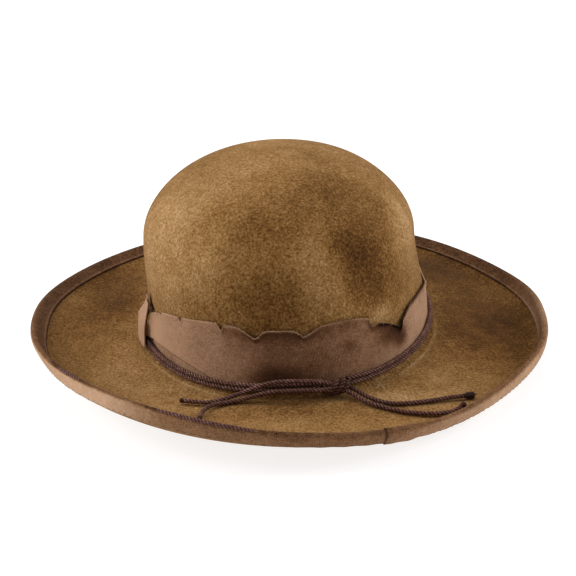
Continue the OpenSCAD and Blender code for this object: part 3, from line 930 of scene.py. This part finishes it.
def make_curled_corner():
    """Torn corner of the ribbon's last end, curled inwards against the felt, darkened with painted shade."""
    a = np.arange(195, 204.5, BAND_STEP)
    low = along_list([(195, 27), (198, 23), (204.5, 28.5)], a)
    high = along_list([(195, 33), (197, 36), (204.5, 30)], a)
    # Its low tone is painted shade of the dark gap behind the ribbon's last end
    return ribbon_piece("hatband_curled_corner", a, low, high, corner_off, 8, 0.25)


# A loose thread on the brim beside the knot, with two ends
STRAY_THREADS = [
    [(47, -88, 3.6), (50, -92, 3.2), (53, -97, 2.2), (53.6, -101, 2.1)],
    [(51, -92.5, 3), (50.4, -96, 2.3), (49, -98.5, 2.1)],
]


def make_fray(angles, heights):
    """Loose thread ends along the torn upper edge."""
    parts = []
    torn = ((199, 232), (247, 264), (272, 282), (298, 330))
    for _ in range(90):
        a = random.choice([random.uniform(*stretch) for stretch in torn])
        top = float(np.interp(a, angles, heights))
        off = 1.2 + float(along_list(EDGE_CURL, a))
        long, lean, out = random.uniform(0.3, 1.3), random.normal(0, 0.9), random.normal(0.3, 0.4)
        line = [on_wall(a, top - 1.2, off - 0.3), on_wall(a, top, off + 0.1)]
        line.append(on_wall(a + 0.3 * lean, top + 0.6 * long, off + 0.5 * out))
        line.append(on_wall(a + 0.8 * lean, top + long, off + out))
        parts.append(tube(spline(line, 0.4), 0.05, 4))
    for stray in STRAY_THREADS:
        parts.append(tube(spline(stray, 0.4), 0.24, 5))
    points, faces = joined(parts)
    return mesh_piece("hatband_loose_threads", points, faces, PALE_THREAD_LOOK, "thread")


def stitch_tube(p, q, outward, radius):
    """One stitch from p to q that bows outward."""
    p, q, outward = (np.asarray(x, float) for x in (p, q, outward))
    t = np.linspace(0, 1, 7)[:, None]
    line = p + (q - p) * t + outward * (radius * (1.2 * np.sin(np.pi * t) - 1.2))
    return tube(line, radius, 6)


def thread_piece(name, parts, look, node):
    """Stitches of one kind as one piece, in place of their CAD node."""
    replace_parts(mesh_piece(name, *joined(parts), look, "thread"), node)


def make_tacks(angles, heights):
    parts = []
    for a in range(345, 520, 29):
        z = float(np.interp(a, angles, heights)) - 3
        off = 0.9 + float(ripple(a, z)) + RIBBON
        out = on_wall(a, z, 1.0) - on_wall(a, z, 0.0)
        for k in (-1, 1):
            start, end = on_wall(a - 0.8, z + k, off), on_wall(a + 0.8, z - k * 0.4, off)
            parts.append(stitch_tube(start, end, out, 0.2))
    thread_piece("hatband_tack_stitches", parts, THREAD_LOOK, "hatband_tacks")


def make_hatband():
    band, angles, heights = make_band()
    under = make_under_layer()
    corner = make_curled_corner()
    fringe = make_fray(angles, heights)
    make_tacks(angles, heights)


# ---------------- rim
LAP_ANGLE = 287
LAP_UNDER = 5
FOLD_AHEAD = 0.9
BINDING_GAP = 0.1


def rim_tip(a):
    """The felt's edge at the angles a (n, 1), and the direction in which it ends, both (radius, height)."""
    end = brim_mid(a, np.array([[1.0]]))[:, 0]
    ahead = end - brim_mid(a, np.array([[0.96]]))[:, 0]
    return end, ahead / np.linalg.norm(ahead, axis=1, keepdims=True)


def rim_strip(u):
    """Closed sections (n, m, 3) of the folded binding, at u degrees from its lap."""
    a = (LAP_ANGLE + u)[:, None]
    rows, turns = 16, np.radians(np.linspace(80, -80, 13))
    mid = brim_mid(a, np.linspace(rim_share(BINDING_WIDTH), 1, rows)[None, :])
    side = sides(mid)
    shift = felt_swell(place(a, mid))[..., None]
    end, ahead = rim_tip(a)
    across = np.stack([-ahead[:, 1], ahead[:, 0]], 1)
    lap = (BINDING * (1 - smooth((u - LAP_UNDER) / 3)) * (u < LAP_UNDER + 3))[:, None, None]
    settle = 0.12 * np.sin(np.radians(u * 83))[:, None, None] * np.linspace(1, 0, rows)[None, :, None] ** 4

    def layer(off):
        upper = mid + (off + lap + shift + settle) * side
        lower = mid - (off + lap - shift + settle) * side
        nose = (end + FOLD_AHEAD * ahead)[:, None] + (off + lap) * (
            np.sin(turns)[None, :, None] * across[:, None] + np.cos(turns)[None, :, None] * ahead[:, None])
        return np.concatenate([upper, nose, lower[:, ::-1]], axis=1)

    inner, outer = layer(HALF + BINDING_GAP), layer(HALF + BINDING_GAP + BINDING)
    return np.concatenate([place(a, inner), place(a, outer)[:, ::-1]], axis=1)


# How light the binding's under face is round the rim, its own colour with painted light on the left and right
# front and painted shade in the middle of the front and at the back: [angle, value]
UNDER_FACE_TONE_LIGHT_AND_SHADE = [
    (0, 0.46), (20, 0.36), (60, 0.28), (120, 0.30), (165, 0.36), (174, 0.45), (181, 0.85), (200, 0.92),
    (212, 0.76), (224, 0.86), (233, 0.84), (239, 0.70), (246, 0.47), (262, 0.42), (280, 0.39), (290, 0.46),
    (300, 0.62), (312, 0.71), (325, 0.76), (338, 0.62), (350, 0.50), (360, 0.46),
]
# How light its upper face is, with painted shade at the back, where the crown shades the brim, and painted
# light at the right side
UPPER_FACE_TONE_AND_SHADE = [
    (0, 0.60), (10, 0.52), (18, 0.46), (26, 0.32), (60, 0.21), (100, 0.25), (125, 0.28), (140, 0.29),
    (150, 0.34), (158, 0.30), (170, 0.34), (200, 0.36), (340, 0.40), (350, 0.54), (360, 0.60),
]
# How worn and dark its very edge is
WORN_EDGE = [
    (0, 0), (14, 0.2), (26, 0.8), (44, 0.6), (60, 0), (118, 0), (128, 0.8), (148, 0.9), (160, 0.3), (170, 0),
    (212, 0), (215, 0.7), (225, 0.6), (230, 0.1), (241, 0.1), (244, 0.9), (262, 0.9), (268, 0.3), (275, 0.2),
    (300, 0), (360, 0),
]


def binding_tone(u, count):
    """Tones of the binding at u degrees from its lap, for count points over the fold on each face, with
    painted light and shade round the rim and painted shade along its inner edges and at the lap.
    """
    a = (LAP_ANGLE + u) % 360
    k = np.arange(count)
    nose = np.exp(-(((k - count / 2 + 1) / 3.4) ** 4))
    worn = along_list(WORN_EDGE, a)
    outside = smooth((k - count / 2) / 4)
    upper, under = along_list(UPPER_FACE_TONE_AND_SHADE, a), along_list(UNDER_FACE_TONE_LIGHT_AND_SHADE, a)
    one_face = upper[:, None] * (1 - outside) + under[:, None] * outside
    # A lighter selvedge line, and painted shade along the binding's inner edge
    one_face = one_face + 0.16 * np.exp(-((k - 3.2) ** 2) / 1.2) - 0.22 * np.exp(-(k**2) / 1.5)
    one_face = one_face * (1 - worn[:, None] * nose) + 0.16 * worn[:, None] * nose
    # Painted shadow along the lap join
    one_face = one_face - 0.22 * np.exp(-((u / 0.25) ** 2))[:, None]
    return np.concatenate([one_face, one_face[:, ::-1]], axis=1)


# Stretches where the fold of the binding is worn through to a dark twisted edge: [first angle, last angle]
WORN_STRETCHES = [(213, 229), (241, 268)]
WORN_SIZE, WORN_SINK, WORN_FADE = 2.8, 2.2, 9


def make_worn_edge():
    """A dark twisted line, half sunk in the fold, that sinks away at both ends of each stretch."""
    lines = []
    for first, last in WORN_STRETCHES:
        a = np.linspace(first, last, 90)[:, None]
        end, ahead = rim_tip(a)
        fade = smooth((a - first) / WORN_FADE) * smooth((last - a) / WORN_FADE)
        tip = end + (FOLD_AHEAD + HALF + BINDING - WORN_SINK * (1 - fade)) * ahead
        lines.append(spline(place(a[:, 0], tip)[::3], 0.5))
    turns = [first for first, _ in WORN_STRETCHES]
    return twisted_piece("binding_worn_edge", lines, turns, 0.50, 0.7, "binding", WORN_SIZE)


def make_binding():
    u = np.linspace(0, 360 + LAP_UNDER - 0.5, 1500)
    rings = rim_strip(u)
    points, faces = loft(rings, closed=False)
    rim = rings[:, rings.shape[1] // 4]
    run = distances(rim)
    tone = binding_tone(u, rings.shape[1] // 2)
    piece = mesh_piece("binding", points, faces, BINDING_LOOK, "binding", {
        "run": np.broadcast_to(run[:, None], rings.shape[:2]), "tone": tone})
    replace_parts(piece, "brim_binding")
    make_worn_edge()


def make_rim_stitches():
    """Running stitch through the binding near its inner edges, on the upper and under face."""
    count, reach, inset = 250, 0.36, 1.3
    s = rim_share(BINDING_WIDTH - inset)
    parts = []
    for i in range(count):
        mid_angle = i * 360 / count
        a = np.array([mid_angle - reach, mid_angle, mid_angle + reach])[:, None]
        mid = brim_mid(a, np.array([[s - 0.01, s, s + 0.01]]))
        shift = felt_swell(place(a, mid))[..., None]
        side = sides(mid)
        for face in (1, -1):
            off = face * (HALF + BINDING_GAP + BINDING + 0.05)
            p = place(a, mid + (shift + off) * side)[:, 1]
            out = place(a, mid + face * side)[1, 1] - place(a, mid)[1, 1]
            parts.append(stitch_tube(p[0], p[2], out, 0.19))
    thread_piece("binding_thread", parts, THREAD_LOOK, "binding_stitches")


# ---------------- inside
def inside_wall(a, z, off):
    reach = wall_reach(a, np.maximum(z, BEND + HALF))
    return place(a, pair(reach - HALF - off, z))


def make_sweatband():
    low, high, thick = 1, 33, 1.2
    a = np.linspace(0, 360, 360, endpoint=False)[:, None]
    k = np.linspace(0, 1, 26)[None, :]
    z = low + (high - low) * k
    wave = 0.35 * np.sin(np.radians(a * 7)) * k + 0.2 * np.sin(np.radians(a * 17 + 30)) * k
    groove = 0.25 * np.exp(-(((z - 4) / 0.8) ** 2)) + 0.2 * np.exp(-(((z - 30) / 0.6) ** 2))
    back = inside_wall(a, z, 0.45 + 0.3 * (1 + np.sin(np.radians(a * 7))) * k)
    front = inside_wall(a, z, 0.45 + thick + 0.6 * k + wave - groove)
    points, faces = loft(np.concatenate([back, front[:, ::-1]], axis=1))
    piece = mesh_piece("leather_sweatband", points, faces, LEATHER_LOOK, "sweatband_leather")
    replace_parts(piece, "sweatband")


def make_sweatband_stitches():
    count, z = 150, 4.0
    parts = []
    for i in range(count):
        a = i * 360 / count
        p, q = inside_wall(a - 0.75, z, 1.5), inside_wall(a + 0.75, z, 1.5)
        out = inside_wall(a, z, 2.5) - inside_wall(a, z, 1.5)
        parts.append(stitch_tube(p, q, out, 0.25))
    thread_piece("sweatband_thread", parts, PALE_THREAD_LOOK, "sweatband_stitches")


def make_bow():
    """Small flat bow of narrow ribbon over the sweatband's seam, at the back."""
    y = float(inside_wall(90.0, 9.0, 0.0)[1]) - 4.4
    half, parts, runs = 3.2, [], []
    for way in (-1, 1):
        loop = [
            (0, 0, 0), (way * 4, 1.0, 0.4), (way * 9, 1.5, 0.6), (way * 11, 0.2, 0.3),
            (way * 9, -1.1, 0), (way * 4, -0.8, -0.2), (0, 0, 0)]
        line = spline(loop, 0.4)
        pinch = 0.45 + 0.55 * smooth(np.abs(line[:, 0]) / 6)
        parts.append((line, pinch))
    wrap = spline([(1.4 * math.sin(f), 1.7 * math.cos(f), 0) for f in np.linspace(0, 2 * np.pi, 13)], 0.4)
    parts.append((wrap, np.full(len(wrap), 0.62)))
    made = []
    for line, width in parts:
        t = np.gradient(line, axis=0)
        side = np.stack([-t[:, 1], t[:, 0], 0 * t[:, 0]], 1)
        side /= np.maximum(np.linalg.norm(side, axis=1, keepdims=True), 1e-6)
        across = np.linspace(-1, 1, 9)[None, :, None] * (half * width)[:, None, None] * np.array([0, 0, 1.0])
        face = line[:, None] + across
        rings = np.concatenate([face, (face + 0.35 * side[:, None])[:, ::-1]], axis=1)
        made.append(loft(rings + [0, y, 9], closed=False))
        runs.append(np.repeat(np.arange(len(line)) * 0.4, rings.shape[1]))
    points, faces = joined(made)
    piece = mesh_piece("bow", points, faces, RIBBON_LOOK, "binding", {
        "run": np.concatenate(runs), "tone": np.full(len(points), 0.55)})
    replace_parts(piece, "sweatband_bow")


def dress_cad():
    """CAD nodes that stay as they are get their finish."""
    looks = {"brim_wire": STEEL_LOOK, "wire_joiner": STEEL_LOOK, "sweatband_reed": THREAD_LOOK}
    for name, look in looks.items():
        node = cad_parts[name]
        node.data.materials.clear()
        node.data.materials.append(look)


def make_floor():
    """Plain pale floor just under the hat, that also gives off light, so that the shadow stays faint."""
    gap = 0.25
    bpy.ops.mesh.primitive_plane_add(size=8, location=(0, 0, (FLOOR - gap) * MM))
    floor = bpy.context.object
    floor.name = "floor"
    material, shader = new_material("pale_floor", 0.9)
    shader.inputs["Base Color"].default_value = (0.35, 0.35, 0.35, 1)
    shader.inputs["Emission Color"].default_value = (1, 1, 1, 1)
    shader.inputs["Emission Strength"].default_value = 0.8
    floor.data.materials.append(material)


make_felt()
make_hatband()
make_binding()
make_rim_stitches()
make_sweatband()
make_sweatband_stitches()
make_bow()
dress_cad()
make_floor()
make_light()
